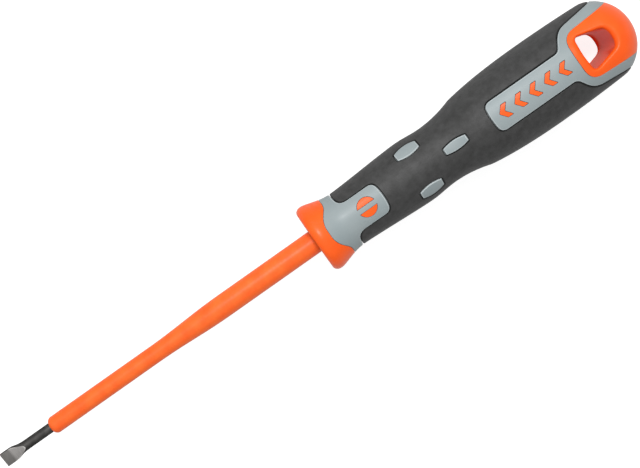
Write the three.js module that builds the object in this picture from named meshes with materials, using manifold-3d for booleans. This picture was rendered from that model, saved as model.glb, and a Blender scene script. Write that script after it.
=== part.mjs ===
// Insulated slotted screwdriver, in millimetres.
//
// A burnished blade carries a moulded insulation sleeve, and the handle is made in three
// shots: a hard orange core, a hard grey middle shell and a soft dark grip.
//
// The origin is the middle of the blade tip's end face. +X runs along the axis to the butt,
// and +Z points up out of one marked face. The mould opens along Z, so the upper and lower
// faces carry the same marks, and every colour boundary is an outline in the XY plane.

import * as THREE from 'three';
import { mergeVertices } from 'three/addons/utils/BufferGeometryUtils.js';
import Module from 'manifold-3d';

// Clearance left between neighbouring shots of the moulding
const SEAM = 0.3;

// Blade: from the tip to the collar face, and the tang beyond it
const BLADE_LENGTH = 100;
const TIP_WIDTH = 4;
const TIP_THICKNESS = 0.8;
const TIP_PARALLEL = 2.6;
const TIP_SLOPE = 0.03;
const GRIND_LENGTH = 6.75;
const FLARE_LENGTH = 7.4;
const ROD_DIAMETER = 2.7;
const SHANK_DIAMETER = 4.2;
const TAPER_START = 48;
const TAPER_LENGTH = 23;
const BLADE_TURN = THREE.MathUtils.degToRad(11);

const TANG_LENGTH = 62;
const TANG_EDGE = 1;
const WING_SPAN = 7;
const WING_THICKNESS = 1.4;
const WING_LENGTH = 14;
const WING_START = 24;

// Insulation sleeve
const BARE_TIP = 15;
const SLEEVE_WALL = 0.75;
const SLEEVE_EDGE = 0.35;
const SLEEVE_INSET = 8;

// Handle outline: stations from the collar face, then stations from the butt end
const HANDLE_LENGTH = 100.8;
const COLLAR_RADIUS = 9.7;
const COLLAR_AT = 1.9;
const COLLAR_EDGE = 1.4;
const NECK_RADIUS = 7.97;
const NECK_AT = 10.2;
const SWELL_RADIUS = 8.98;
const SWELL_AT = 31.8;
const WAIST_RADIUS = 8.5;
const WAIST_AT = 39.3;
const CREASE_RADIUS = 10.23;
const CREASE_AT = 49.8;
const BELLY_RADIUS = 11.7;
const BELLY_FROM_BUTT = 28.8;
const SHOULDER_RADIUS = 11.19;
const SHOULDER_FROM_BUTT = 9.1;
const DOME_DROP = 0.13;
const DOME_FULLNESS = 0.65;

// Thicknesses of the two outer shots
const GRIP_THICKNESS = 1.5;
const SHELL_THICKNESS = 1.2;

// Collar's edge: a straight ring with a grey lobe that reaches forward on each face
const COLLAR_DEPTH = 7;
const LOBE_REACH = 2.8;
const LOBE_HALF_WIDTH = 6.4;

// Grey tongue behind the neck, with the slot mark on it
const GRIP_FRONT = 10;
const TONGUE_HALF_WIDTH = 4.47;
const TONGUE_END = 21.35;
const TONGUE_CORNER = 1.3;
const TONGUE_BOW = 0.7;
const BAY_FILLET = 2.1;
const SLOT_MARK_AT = 16.1;
const SLOT_MARK_RADIUS = 2.65;
const SLOT_MARK_BAND = 1.5;

// Lens-shaped grey pips
const PIP_LENGTH = 6.8;
const PIP_WIDTH = 2.65;
const PIP_END_WIDTH = 1.7;
const PIP_PAIR_AT = 32.8;
const PIP_PAIR_OFFSET = 6.05;
const PIP_SINGLE_AT = 43.9;

// Grey panel with its row of chevrons, and the shoulders where it widens towards the butt
const PANEL_START = 54.7;
const PANEL_HALF_WIDTH = 4.37;
const PANEL_CORNER = 1.6;
const PANEL_BOW = 0.5;
const CHEVRON_COUNT = 5;
const CHEVRON_HEIGHT = 3.7;
const CHEVRON_STROKE = 1.5;
const CHEVRON_POINT = 1.5;
const CHEVRON_MARGIN = 2.6;
const CHEEK_FROM_BUTT = 23.2;
const CHEEK_HALF_WIDTH = 9.45;
const CHEEK_SLOPE = 0.088;

// Orange strip that wraps over the butt, and the hanging hole through it
const STRIP_FROM_BUTT = 19.5;
const STRIP_HALF_WIDTH = 7.05;
const STRIP_CORNER = 4;
const STRIP_BOW = 0.5;
const STRIP_SLOPE = 0.05;
const HOLE_FRONT_FROM_BUTT = 17.3;
const HOLE_BACK_FROM_BUTT = 7.8;
const HOLE_HALF_WIDTH = 4.95;
const HOLE_BACK_RADIUS = 3.5;
const HOLE_BACK_TURN = THREE.MathUtils.degToRad(76);
const HOLE_CORNER = 0.9;
const HOLE_BOW = 0.9;

// Facets around the handle and around the blade
const HANDLE_SIDES = 28;
const BLADE_SIDES = 20;

// Places that follow from the sizes above
const BELLY_AT = HANDLE_LENGTH - BELLY_FROM_BUTT;
const SHOULDER_AT = HANDLE_LENGTH - SHOULDER_FROM_BUTT;
const SHELL_DEPTH = GRIP_THICKNESS + SEAM;
const CORE_DEPTH = SHELL_DEPTH + SHELL_THICKNESS + SEAM;
const REACH = 2 * BELLY_RADIUS;

const wasm = await Module();
wasm.setup();

// A closed three.js geometry as a solid that can be joined and cut
function solid(geometry) {
  const bare = geometry.clone();
  bare.deleteAttribute('normal');
  bare.deleteAttribute('uv');
  const merged = mergeVertices(bare, 1e-4);
  const corners = merged.index.array;
  const triangles = [];
  for (let i = 0; i < corners.length; i += 3) {
    const [a, b, c] = corners.slice(i, i + 3);
    if (a !== b && b !== c && c !== a) triangles.push(a, b, c);
  }
  return new wasm.Manifold(new wasm.Mesh({
    numProp: 3,
    vertProperties: new Float32Array(merged.attributes.position.array),
    triVerts: new Uint32Array(triangles),
  }));
}

function geometryOf(shape) {
  const mesh = shape.getMesh();
  const geometry = new THREE.BufferGeometry();
  geometry.setAttribute('position', new THREE.BufferAttribute(mesh.vertProperties, 3));
  geometry.setIndex(new THREE.BufferAttribute(mesh.triVerts, 1));
  geometry.computeVertexNormals();
  return geometry;
}

// Revolves points (x along the axis, y as radius) about the X axis, with a flat facet at ±Y and ±Z
function revolve(points, sides) {
  const profile = points.map((p) => new THREE.Vector2(p.y, p.x));
  const geometry = new THREE.LatheGeometry(profile, sides, Math.PI / sides);
  geometry.rotateZ(-Math.PI / 2);
  return solid(geometry);
}

// Extrudes an outline of the XY plane right through the handle along Z
function column(outline) {
  const geometry = new THREE.ExtrudeGeometry(outline, {
    depth: 2 * REACH,
    curveSegments: 6,
    bevelEnabled: false,
  });
  geometry.translate(0, 0, -REACH);
  return solid(geometry);
}

function joined(shapes) {
  return shapes.reduce((whole, shape) => whole.add(shape));
}

// Outline drawn from points on its +Y side: the other side is the mirror image
function mirroredOutline(draw) {
  const half = new THREE.Path();
  draw(half);
  const points = half.getPoints(5);
  const mirror = points.map((p) => new THREE.Vector2(p.x, -p.y)).reverse();
  return new THREE.Shape([...points, ...mirror]);
}

// ---------------------------------------------------------------- handle form

function handlePath() {
  const path = new THREE.Path();
  path.moveTo(0, COLLAR_RADIUS - COLLAR_EDGE);
  path.absellipse(
    COLLAR_AT, COLLAR_RADIUS - COLLAR_EDGE, COLLAR_AT, COLLAR_EDGE, Math.PI, Math.PI / 2, true);
  const flare = NECK_AT - COLLAR_AT;
  path.bezierCurveTo(
    COLLAR_AT + 0.2 * flare, COLLAR_RADIUS, NECK_AT - 0.4 * flare, NECK_RADIUS, NECK_AT, NECK_RADIUS);
  addGripPath(path);
  return path;
}

// From the neck to the butt end: the swell, the waist, the crease, the belly and the dome
function addGripPath(path) {
  const rise = SWELL_AT - NECK_AT;
  path.bezierCurveTo(
    NECK_AT + 0.2 * rise, NECK_RADIUS, SWELL_AT - 0.2 * rise, SWELL_RADIUS, SWELL_AT, SWELL_RADIUS);
  const fall = WAIST_AT - SWELL_AT;
  path.bezierCurveTo(
    SWELL_AT + 0.36 * fall, SWELL_RADIUS, WAIST_AT - 0.36 * fall, WAIST_RADIUS, WAIST_AT, WAIST_RADIUS);
  path.quadraticCurveTo((WAIST_AT + CREASE_AT) / 2, WAIST_RADIUS, CREASE_AT, CREASE_RADIUS);
  const swelling = BELLY_AT - CREASE_AT;
  path.quadraticCurveTo(CREASE_AT + 0.4 * swelling, BELLY_RADIUS, BELLY_AT, BELLY_RADIUS);
  path.quadraticCurveTo(
    (BELLY_AT + SHOULDER_AT) / 2, BELLY_RADIUS, SHOULDER_AT, SHOULDER_RADIUS);
  path.bezierCurveTo(
    HANDLE_LENGTH - DOME_FULLNESS * SHOULDER_FROM_BUTT, SHOULDER_RADIUS - DOME_DROP,
    HANDLE_LENGTH, DOME_FULLNESS * SHOULDER_RADIUS, HANDLE_LENGTH, 0);
}

// The whole handle, as if it were one material
function handleForm() {
  const points = handlePath().getPoints(4);
  return revolve([new THREE.Vector2(0, 0), ...points], HANDLE_SIDES);
}

// The handle's form below the given depth, with a plain cylinder in front of the neck
function innerForm(depth) {
  const path = new THREE.Path();
  path.moveTo(NECK_AT, NECK_RADIUS);
  addGripPath(path);
  const outer = path.getPoints(3);
  const inner = outer.map((point, i) => {
    const before = outer[Math.max(i - 1, 0)];
    const after = outer[Math.min(i + 1, outer.length - 1)];
    const along = after.clone().sub(before).normalize();
    return new THREE.Vector2(point.x + along.y * depth, point.y - along.x * depth);
  });
  inner[0].set(NECK_AT, NECK_RADIUS - depth);
  inner[inner.length - 1].set(HANDLE_LENGTH - depth, 0);
  const front = [new THREE.Vector2(0, 0), new THREE.Vector2(0, NECK_RADIUS - depth)];
  return revolve([...front, ...inner], HANDLE_SIDES);
}

// ------------------------------------------------- colour outlines, grown by `gap`

// Everything in front of the collar's rear edge
function collarOutline(gap) {
  const edge = COLLAR_DEPTH + gap;
  const lobe = LOBE_HALF_WIDTH - gap;
  return mirroredOutline((half) => {
    half.moveTo(-REACH, REACH);
    half.lineTo(edge, REACH);
    half.lineTo(edge, lobe);
    half.bezierCurveTo(
      edge, 0.84 * lobe, edge - 0.42 * LOBE_REACH, 0.84 * lobe, edge - 0.62 * LOBE_REACH, 0.68 * lobe);
    half.bezierCurveTo(
      edge - 0.86 * LOBE_REACH, 0.5 * lobe, edge - LOBE_REACH, 0.3 * lobe, edge - LOBE_REACH, 0);
  });
}

// The grey neck with the tongue behind it
function tongueOutline(gap) {
  const width = TONGUE_HALF_WIDTH + gap;
  const end = TONGUE_END + gap;
  const front = GRIP_FRONT + gap;
  const sides = end - TONGUE_BOW;
  return mirroredOutline((half) => {
    half.moveTo(-REACH, REACH);
    half.lineTo(front, REACH);
    half.lineTo(front, width + BAY_FILLET);
    half.quadraticCurveTo(front, width, front + BAY_FILLET, width);
    half.lineTo(sides - TONGUE_CORNER, width);
    half.quadraticCurveTo(sides, width, sides + 0.4 * TONGUE_BOW, width - TONGUE_CORNER);
    half.quadraticCurveTo(end, 0.4 * width, end, 0);
  });
}

// The grey panel, its shoulders and both cheeks of the butt
function panelOutline(gap) {
  const width = PANEL_HALF_WIDTH + gap;
  const start = PANEL_START - gap;
  const sides = start + PANEL_BOW;
  const shoulder = HANDLE_LENGTH - CHEEK_FROM_BUTT - gap;
  const cheek = CHEEK_HALF_WIDTH + gap;
  const rise = cheek - width;
  const beyond = HANDLE_LENGTH + REACH;
  return mirroredOutline((half) => {
    half.moveTo(start, 0);
    half.quadraticCurveTo(start, 0.5 * width, sides, width - PANEL_CORNER);
    half.quadraticCurveTo(sides + PANEL_BOW, width, sides + PANEL_CORNER, width);
    half.lineTo(shoulder, width);
    half.bezierCurveTo(
      shoulder + 0.4 * rise, width, shoulder + 0.4 * rise, width + 0.3 * rise,
      shoulder + 0.54 * rise, width + 0.52 * rise);
    const full = shoulder + 1.4 * rise;
    half.bezierCurveTo(
      shoulder + 0.7 * rise, width + 0.85 * rise, shoulder + 0.86 * rise, cheek, full, cheek);
    half.lineTo(beyond, cheek + CHEEK_SLOPE * (beyond - full));
  });
}

// The orange strip over the butt
function stripOutline(gap) {
  const width = STRIP_HALF_WIDTH + gap;
  const start = HANDLE_LENGTH - STRIP_FROM_BUTT - gap;
  const sides = start + STRIP_BOW;
  const full = sides + STRIP_CORNER;
  const beyond = HANDLE_LENGTH + REACH;
  return mirroredOutline((half) => {
    half.moveTo(start, 0);
    half.quadraticCurveTo(start, 0.3 * width, sides, width - STRIP_CORNER);
    half.bezierCurveTo(
      sides + STRIP_BOW, width - 0.4 * STRIP_CORNER, sides + 0.5 * STRIP_CORNER, width, full, width);
    half.lineTo(beyond, width + STRIP_SLOPE * (beyond - full));
  });
}

function holeOutline() {
  const front = HANDLE_LENGTH - HOLE_FRONT_FROM_BUTT;
  const back = HANDLE_LENGTH - HOLE_BACK_FROM_BUTT;
  const corner = front + HOLE_BOW;
  return mirroredOutline((half) => {
    half.moveTo(front, 0);
    half.quadraticCurveTo(front, 0.5 * HOLE_HALF_WIDTH, corner, HOLE_HALF_WIDTH - HOLE_CORNER);
    half.quadraticCurveTo(
      corner + 0.2 * HOLE_CORNER, HOLE_HALF_WIDTH, corner + 1.3 * HOLE_CORNER, HOLE_HALF_WIDTH - 0.1);
    half.absarc(back - HOLE_BACK_RADIUS, 0, HOLE_BACK_RADIUS, HOLE_BACK_TURN, 0, true);
  });
}

// A lens with blunt ends
function pipOutline(x, y, gap) {
  const end = PIP_LENGTH / 2 + gap;
  const tall = PIP_WIDTH / 2 + gap;
  const blunt = PIP_END_WIDTH / 2 + gap;
  const peak = 2 * tall - blunt;
  const outline = new THREE.Shape();
  outline.moveTo(x - end, y - blunt);
  outline.quadraticCurveTo(x, y - peak, x + end, y - blunt);
  outline.lineTo(x + end, y + blunt);
  outline.quadraticCurveTo(x, y + peak, x - end, y + blunt);
  return outline;
}

// The two half discs of the mark that names the slotted blade
function slotMarkOutlines(gap) {
  const radius = SLOT_MARK_RADIUS + gap;
  const chord = SLOT_MARK_BAND / 2 - gap;
  const turn = Math.asin(chord / radius);
  return [1, -1].map((side) => {
    const outline = new THREE.Shape();
    const from = side > 0 ? turn : Math.PI + turn;
    outline.absarc(SLOT_MARK_AT, 0, radius, from, from + Math.PI - 2 * turn, false);
    return outline;
  });
}

// Chevrons that point to the tip, spread evenly along the panel. `shift` moves a slanted edge
// sideways by enough to stand `gap` away from where it was.
function chevronOutlines(gap) {
  const first = PANEL_START + CHEVRON_MARGIN;
  const last = HANDLE_LENGTH - STRIP_FROM_BUTT - CHEVRON_MARGIN - CHEVRON_STROKE - CHEVRON_POINT;
  const half = CHEVRON_HEIGHT / 2 + gap;
  const slant = CHEVRON_POINT / (CHEVRON_HEIGHT / 2);
  const shift = gap * Math.hypot(1, slant);
  return Array.from({ length: CHEVRON_COUNT }, (_, i) => {
    const front = first + ((last - first) * i) / (CHEVRON_COUNT - 1) - shift;
    const back = front + CHEVRON_STROKE + 2 * shift;
    return new THREE.Shape([
      new THREE.Vector2(front, 0),
      new THREE.Vector2(front + slant * half, -half),
      new THREE.Vector2(back + slant * half, -half),
      new THREE.Vector2(back, 0),
      new THREE.Vector2(back + slant * half, half),
      new THREE.Vector2(front + slant * half, half),
    ]);
  });
}

function greyColumns(gap) {
  return joined([
    tongueOutline(gap),
    panelOutline(gap),
    pipOutline(PIP_PAIR_AT, PIP_PAIR_OFFSET, gap),
    pipOutline(PIP_PAIR_AT, -PIP_PAIR_OFFSET, gap),
    pipOutline(PIP_SINGLE_AT, 0, gap),
  ].map(column));
}

function orangeColumns(gap) {
  return joined([
    collarOutline(gap),
    stripOutline(gap),
    ...slotMarkOutlines(gap),
    ...chevronOutlines(gap),
  ].map(column));
}

// --------------------------------------------------------------------- blade

// Side line of the round rod, moved out by `grow`: slim in front, thicker past the taper
function rodPoints(grow) {
  const slim = ROD_DIAMETER / 2 + grow;
  const thick = SHANK_DIAMETER / 2 + grow;
  const path = new THREE.Path();
  path.moveTo(TAPER_START, slim);
  path.bezierCurveTo(
    TAPER_START + 0.4 * TAPER_LENGTH, slim, TAPER_START + 0.6 * TAPER_LENGTH, thick,
    TAPER_START + TAPER_LENGTH, thick);
  return path.getPoints(5);
}

// Steel below the collar face: the round tang with its two wings
function tang(grow) {
  const end = BLADE_LENGTH + TANG_LENGTH + grow;
  const radius = SHANK_DIAMETER / 2 + grow;
  const start = BLADE_LENGTH - REACH;
  const rod = revolve([
    new THREE.Vector2(start, 0),
    new THREE.Vector2(start, radius),
    new THREE.Vector2(end - TANG_EDGE, radius),
    new THREE.Vector2(end, radius - TANG_EDGE),
    new THREE.Vector2(end, 0),
  ], BLADE_SIDES);
  const wings = new THREE.BoxGeometry(
    WING_LENGTH + 2 * grow, WING_SPAN + 2 * grow, WING_THICKNESS + 2 * grow);
  wings.translate(BLADE_LENGTH + WING_START + WING_LENGTH / 2, 0, 0);
  wings.rotateX(BLADE_TURN);
  return rod.add(solid(wings));
}

// Side view of the ground tip: parallel at the end, then hollowed up to the full rod
function grindOutline() {
  const thin = TIP_THICKNESS / 2;
  const full = ROD_DIAMETER / 2;
  return mirroredOutline((half) => {
    half.moveTo(-1, thin);
    half.lineTo(TIP_PARALLEL, thin + TIP_SLOPE * TIP_PARALLEL);
    half.quadraticCurveTo(
      0.6 * GRIND_LENGTH, thin + 2 * TIP_SLOPE * GRIND_LENGTH, GRIND_LENGTH, full);
    half.lineTo(FLARE_LENGTH, TIP_WIDTH);
    half.lineTo(BLADE_LENGTH + TANG_LENGTH + 1, 2 * WING_SPAN);
  });
}

function blade() {
  const flare = new THREE.Path();
  flare.moveTo(0, TIP_WIDTH / 2);
  flare.lineTo(TIP_PARALLEL, TIP_WIDTH / 2);
  flare.bezierCurveTo(
    0.6 * FLARE_LENGTH, TIP_WIDTH / 2, 0.6 * FLARE_LENGTH, ROD_DIAMETER / 2,
    FLARE_LENGTH, ROD_DIAMETER / 2);
  const end = BLADE_LENGTH;
  const rod = revolve([
    new THREE.Vector2(0, 0),
    ...flare.getPoints(6),
    ...rodPoints(0),
    new THREE.Vector2(end, SHANK_DIAMETER / 2),
    new THREE.Vector2(end, 0),
  ], BLADE_SIDES);
  const grind = new THREE.ExtrudeGeometry(grindOutline(), { depth: 2 * REACH, bevelEnabled: false });
  grind.translate(0, 0, -REACH);
  grind.rotateX(Math.PI / 2 + BLADE_TURN);
  return rod.intersect(solid(grind)).add(tang(0));
}

function bladeSleeve() {
  const inner = SEAM;
  const outer = SEAM + SLEEVE_WALL;
  const front = ROD_DIAMETER / 2;
  const back = SHANK_DIAMETER / 2;
  const end = BLADE_LENGTH + SLEEVE_INSET;
  return revolve([
    new THREE.Vector2(BARE_TIP, front + inner),
    new THREE.Vector2(BARE_TIP, front + outer - SLEEVE_EDGE),
    new THREE.Vector2(BARE_TIP + SLEEVE_EDGE, front + outer),
    ...rodPoints(outer),
    new THREE.Vector2(end, back + outer),
    new THREE.Vector2(end, back + inner),
    ...rodPoints(inner).reverse(),
    new THREE.Vector2(BARE_TIP, front + inner),
  ], BLADE_SIDES);
}

// -------------------------------------------------------------------- handle

// Moves a solid that is drawn from the collar face to its place behind the blade
function behindBlade(shape) {
  return shape.translate([BLADE_LENGTH, 0, 0]);
}

// Room in the core for the sleeve's end and the tang
function bladeSocket() {
  const radius = SHANK_DIAMETER / 2 + 2 * SEAM + SLEEVE_WALL;
  const depth = BLADE_LENGTH + SLEEVE_INSET + SEAM;
  const mouth = revolve([
    new THREE.Vector2(BLADE_LENGTH - 1, 0),
    new THREE.Vector2(BLADE_LENGTH - 1, radius),
    new THREE.Vector2(depth, radius),
    new THREE.Vector2(depth, 0),
  ], BLADE_SIDES);
  return mouth.add(tang(SEAM));
}

function handleCore() {
  const skin = handleForm().intersect(orangeColumns(0));
  const hole = column(holeOutline());
  return behindBlade(skin.add(innerForm(CORE_DEPTH)).subtract(hole)).subtract(bladeSocket());
}

function middleShell() {
  const skin = handleForm().intersect(greyColumns(0));
  const layer = innerForm(SHELL_DEPTH);
  const inside = innerForm(CORE_DEPTH - SEAM);
  return behindBlade(skin.add(layer).subtract(inside).subtract(orangeColumns(SEAM)));
}

function softGrip() {
  return behindBlade(
    handleForm().subtract(innerForm(GRIP_THICKNESS)).subtract(greyColumns(SEAM)));
}

// ------------------------------------------------------------------- assembly

function piece(name, shape, color, roughness, metalness) {
  const material = new THREE.MeshStandardMaterial({ color, roughness, metalness });
  const mesh = new THREE.Mesh(geometryOf(shape), material);
  mesh.name = name;
  return mesh;
}

const screwdriver = new THREE.Group();
screwdriver.add(
  piece('blade', blade(), 0x4a4845, 0.35, 1),
  piece('blade_sleeve', bladeSleeve(), 0xf4703a, 0.42, 0),
  piece('handle_core', handleCore(), 0xf5622b, 0.4, 0),
  piece('middle_shell', middleShell(), 0x97a5a8, 0.45, 0),
  piece('soft_grip', softGrip(), 0x3f3f3f, 0.75, 0),
);

export default screwdriver;
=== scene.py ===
"""Insulated slotted screwdriver: the visible pieces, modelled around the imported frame.

Pieces are modelled in millimetres and brought to metres when they go to their place. Every plate
of the handle is cut out and edged flat, where +X is the way along the handle's outline and Y the
way round it, and is then laid on the handle.
"""

import math

import bmesh
import bpy
import numpy as np
from mathutils import Matrix, Vector


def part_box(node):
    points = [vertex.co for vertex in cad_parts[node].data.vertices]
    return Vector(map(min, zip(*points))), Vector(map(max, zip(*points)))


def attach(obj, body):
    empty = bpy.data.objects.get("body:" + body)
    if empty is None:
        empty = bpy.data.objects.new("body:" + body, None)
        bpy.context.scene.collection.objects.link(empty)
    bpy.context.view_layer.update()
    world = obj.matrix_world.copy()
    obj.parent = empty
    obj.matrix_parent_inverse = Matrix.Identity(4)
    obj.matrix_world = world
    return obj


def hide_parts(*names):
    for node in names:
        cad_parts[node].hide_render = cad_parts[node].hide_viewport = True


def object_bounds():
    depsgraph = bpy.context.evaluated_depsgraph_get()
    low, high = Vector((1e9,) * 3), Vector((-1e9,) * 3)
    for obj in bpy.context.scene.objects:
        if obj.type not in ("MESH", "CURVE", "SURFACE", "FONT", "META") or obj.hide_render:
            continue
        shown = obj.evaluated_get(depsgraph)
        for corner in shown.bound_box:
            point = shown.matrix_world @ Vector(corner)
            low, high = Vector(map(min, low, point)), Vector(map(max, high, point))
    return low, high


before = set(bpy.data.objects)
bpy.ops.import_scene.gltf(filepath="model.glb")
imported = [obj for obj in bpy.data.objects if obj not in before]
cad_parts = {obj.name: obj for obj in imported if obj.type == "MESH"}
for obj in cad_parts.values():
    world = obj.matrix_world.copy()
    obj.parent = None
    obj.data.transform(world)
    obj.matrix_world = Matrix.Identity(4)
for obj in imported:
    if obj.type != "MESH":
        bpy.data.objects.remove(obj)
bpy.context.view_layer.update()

MM = 0.001
FLOOR_GAP = 0.2 * MM
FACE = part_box("handle_core")[0].x / MM
HANDLE_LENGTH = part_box("handle_core")[1].x / MM - FACE

# Handle outline, as stations from the collar face or from the butt, in millimetres
COLLAR_RADIUS, COLLAR_AT, COLLAR_EDGE = 9.7, 1.9, 1.4
NECK_RADIUS, NECK_AT = 7.97, 10.2
SWELL_RADIUS, SWELL_AT = 8.98, 31.8
WAIST_RADIUS, WAIST_AT = 8.5, 39.3
CREASE_RADIUS, CREASE_AT = 10.23, 49.8
BELLY_RADIUS, BELLY_AT = 11.7, HANDLE_LENGTH - 28.8
SHOULDER_RADIUS, SHOULDER_AT = 11.19, HANDLE_LENGTH - 9.1

# Plates of the handle
PLATE = 1.1
SEAM = 0.18
GREY_EDGE = 0.34
GRIP_EDGE = 0.3
FINE_EDGE = 0.09
STRIP_PLATE = 1.8
INLAY_SUNK = 0.06
HOLE_ROUNDING = 1.55
JOIN = 0.02
LAYER_DEPTH = 0.9
CORE_DEPTH = 1.25
COLLAR_PLATE = 0.9
WIDE_SQUARE, INLAY_SQUARE, FINE_SQUARE = 1.0, 0.8, 0.7
AROUND = 10
SIDE = AROUND * math.pi / 2
FLAT = 1e-4
RIM_REACH = 0.45
STRIP_RIM_REACH = 0.8

# Colour boundaries
COLLAR_DEPTH, LOBE_REACH = 7.0, 2.8
GRIP_FRONT = 10
TONGUE_END = 21.35
TONGUE_HALF_WIDTH = 4.47
MARK_AT, MARK_RADIUS, MARK_BAND = 16.1, 2.65, 1.5
PIP_PLACES = ((32.8, 6.05), (32.8, -6.05), (43.9, 0))
PANEL_START = 54.7
PANEL_HALF_WIDTH = 4.37
CHEEK_AT = HANDLE_LENGTH - 18.9
CHEEK_HALF_WIDTH = 9.0
STRIP_START = HANDLE_LENGTH - 19.5
STRIP_HALF_WIDTH = 6.85
HOLE_FRONT, HOLE_BACK = HANDLE_LENGTH - 17.3, HANDLE_LENGTH - 7.8
CHEVRONS, CHEVRON_HALF, CHEVRON_STROKE, CHEVRON_MARGIN = 5, 1.85, 1.5, 2.6

# Blade and sleeve, as stations from the tip
TIP_HALF_WIDTH, TIP_HALF_THICKNESS, TIP_PARALLEL = 2.0, 0.4, 2.6
RAMP_END, FLARE_END = 6.75, 7.4
ROD_RADIUS, SHANK_RADIUS = 1.35, 2.1
TAPER_START, TAPER_END = 48, 71
TANG_END = FACE + 62
TANG_CHAMFER = 1
WINGS_AT, WINGS_SIZE = FACE + 31, (14, 7, 1.4)
BLADE_EDGE = 0.06
BLADE_TURN = math.radians(11)
BARE_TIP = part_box("blade_sleeve")[0].x / MM
SLEEVE_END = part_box("blade_sleeve")[1].x / MM
SLEEVE_WALL = 1.05
SLEEVE_GAP = 0.1
COLLAR_MOUTH = SHANK_RADIUS + SLEEVE_WALL + 0.42
CORE_MOUTH = SHANK_RADIUS + SLEEVE_WALL + 0.45
CORE_GAP = 0.2
HOLE_GAP, LAYER_HOLE_GAP = 0.03, 0.6
LAYER_OVERLAP = 0.05


# ------------------------------------------------------------------ outlines


def curve(*pulls, steps=16):
    """Points of the smooth curve that the given points pull, without the first of them."""
    points = []
    for i in range(1, steps + 1):
        level = [Vector(p) for p in pulls]
        while len(level) > 1:
            level = [a.lerp(b, i / steps) for a, b in zip(level, level[1:])]
        points.append(level[0])
    return points


def handle_line():
    """The handle's outer line as (station, radius), from the collar face's middle to the butt."""
    edge_start = (0, COLLAR_RADIUS - COLLAR_EDGE)
    flare, rise, fall = NECK_AT - COLLAR_AT, SWELL_AT - NECK_AT, WAIST_AT - SWELL_AT
    collar, neck = (COLLAR_AT, COLLAR_RADIUS), (NECK_AT, NECK_RADIUS)
    swell, waist = (SWELL_AT, SWELL_RADIUS), (WAIST_AT, WAIST_RADIUS)
    crease, belly = (CREASE_AT, CREASE_RADIUS), (BELLY_AT, BELLY_RADIUS)
    shoulder, butt = (SHOULDER_AT, SHOULDER_RADIUS), (HANDLE_LENGTH, 0)
    line = [Vector((0, 0)), Vector(edge_start)]
    line += curve(edge_start, (0, COLLAR_RADIUS - 0.45 * COLLAR_EDGE),
                  (0.45 * COLLAR_AT, COLLAR_RADIUS), collar)
    line += curve(collar, (COLLAR_AT + 0.2 * flare, COLLAR_RADIUS),
                  (NECK_AT - 0.4 * flare, NECK_RADIUS), neck)
    line += curve(neck, (NECK_AT + 0.2 * rise, NECK_RADIUS),
                  (SWELL_AT - 0.2 * rise, SWELL_RADIUS), swell)
    line += curve(swell, (SWELL_AT + 0.36 * fall, SWELL_RADIUS),
                  (WAIST_AT - 0.36 * fall, WAIST_RADIUS), waist)
    line += curve(waist, ((WAIST_AT + CREASE_AT) / 2, WAIST_RADIUS), crease)
    line += curve(crease, (0.6 * CREASE_AT + 0.4 * BELLY_AT, BELLY_RADIUS), belly)
    line += curve(belly, ((BELLY_AT + SHOULDER_AT) / 2, BELLY_RADIUS), shoulder)
    line += curve(shoulder,
                  (SHOULDER_AT + 0.36 * (HANDLE_LENGTH - SHOULDER_AT), SHOULDER_RADIUS - 0.13),
                  (HANDLE_LENGTH, 0.65 * SHOULDER_RADIUS), butt, steps=40)
    return line


LINE = np.array(handle_line(), float)
STATION, RADIUS = LINE[:, 0], LINE[:, 1]
ALONG = np.concatenate([[0], np.cumsum(np.hypot(np.diff(STATION), np.diff(RADIUS)))])
LEAN, RISE = -np.gradient(RADIUS, ALONG), np.gradient(STATION, ALONG)
COLLAR_FACE_END = ALONG[1]
BUTT = ALONG[-1]


def along(station):
    """Way along the outline to a station behind the collar face."""
    return np.interp(station, STATION[1:], ALONG[1:])


def rounded(corners, steps=8):
    """Closed outline through corners (x, y, reach), each rounded off from `reach` before it."""
    outline = []
    for i, (x, y, reach) in enumerate(corners):
        here = Vector((x, y))
        before = (Vector(corners[i - 1][:2]) - here).normalized()
        after = (Vector(corners[(i + 1) % len(corners)][:2]) - here).normalized()
        if reach:
            start, end = here + before * reach, here + after * reach
            outline += [start, *curve(start, here, end, steps=steps)]
        else:
            outline.append(here)
    return outline


def mirrored(corners):
    """Corners on the +Y side, then the same ones on the other side, back to the start."""
    return corners + [(x, -y, reach) for x, y, reach in reversed(corners) if y]


def spaced(outline, step=0.5):
    """The outline with more points on its long straight stretches."""
    points = []
    for a, b in zip(outline, outline[1:] + outline[:1]):
        count = math.ceil((b - a).length / step - 1e-3)
        points += [a.lerp(b, i / count) for i in range(count)]
    return points


def unrolled(outline):
    """An outline seen from above, as it lies on the unrolled handle."""
    points = []
    for x, y in spaced(outline):
        radius = np.interp(x, STATION[1:], RADIUS[1:])
        beyond = max(0.0, abs(y) - radius)
        turn = math.asin(min(1.0, abs(y) / max(radius, 1e-6)))
        points.append(Vector((along(x), math.copysign(AROUND * turn + beyond, y))))
    return points


def grown(outline, gap):
    """The outline moved outwards by a gap."""
    count = len(outline)
    area = sum(outline[i - 1].cross(outline[i]) for i in range(count))
    outwards = math.copysign(1, area)
    points = []
    for i, here in enumerate(outline):
        sides = [here - outline[i - 1], outline[(i + 1) % count] - here]
        first, second = [Vector((s.y, -s.x)).normalized() * outwards for s in sides]
        points.append(here + (first + second) * gap / max(0.3, 1 + first.dot(second)))
    return points


def collar_outline():
    """The collar's rear border, with a shallow lobe over each marked face."""
    return rounded(mirrored([
        (COLLAR_DEPTH - LOBE_REACH, 0, 0), (COLLAR_DEPTH - LOBE_REACH, 3.1, 2.2),
        (COLLAR_DEPTH, 6.4, 1.0),
        (COLLAR_DEPTH, 14, 0), (0.01, 14, 0)]))


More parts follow.
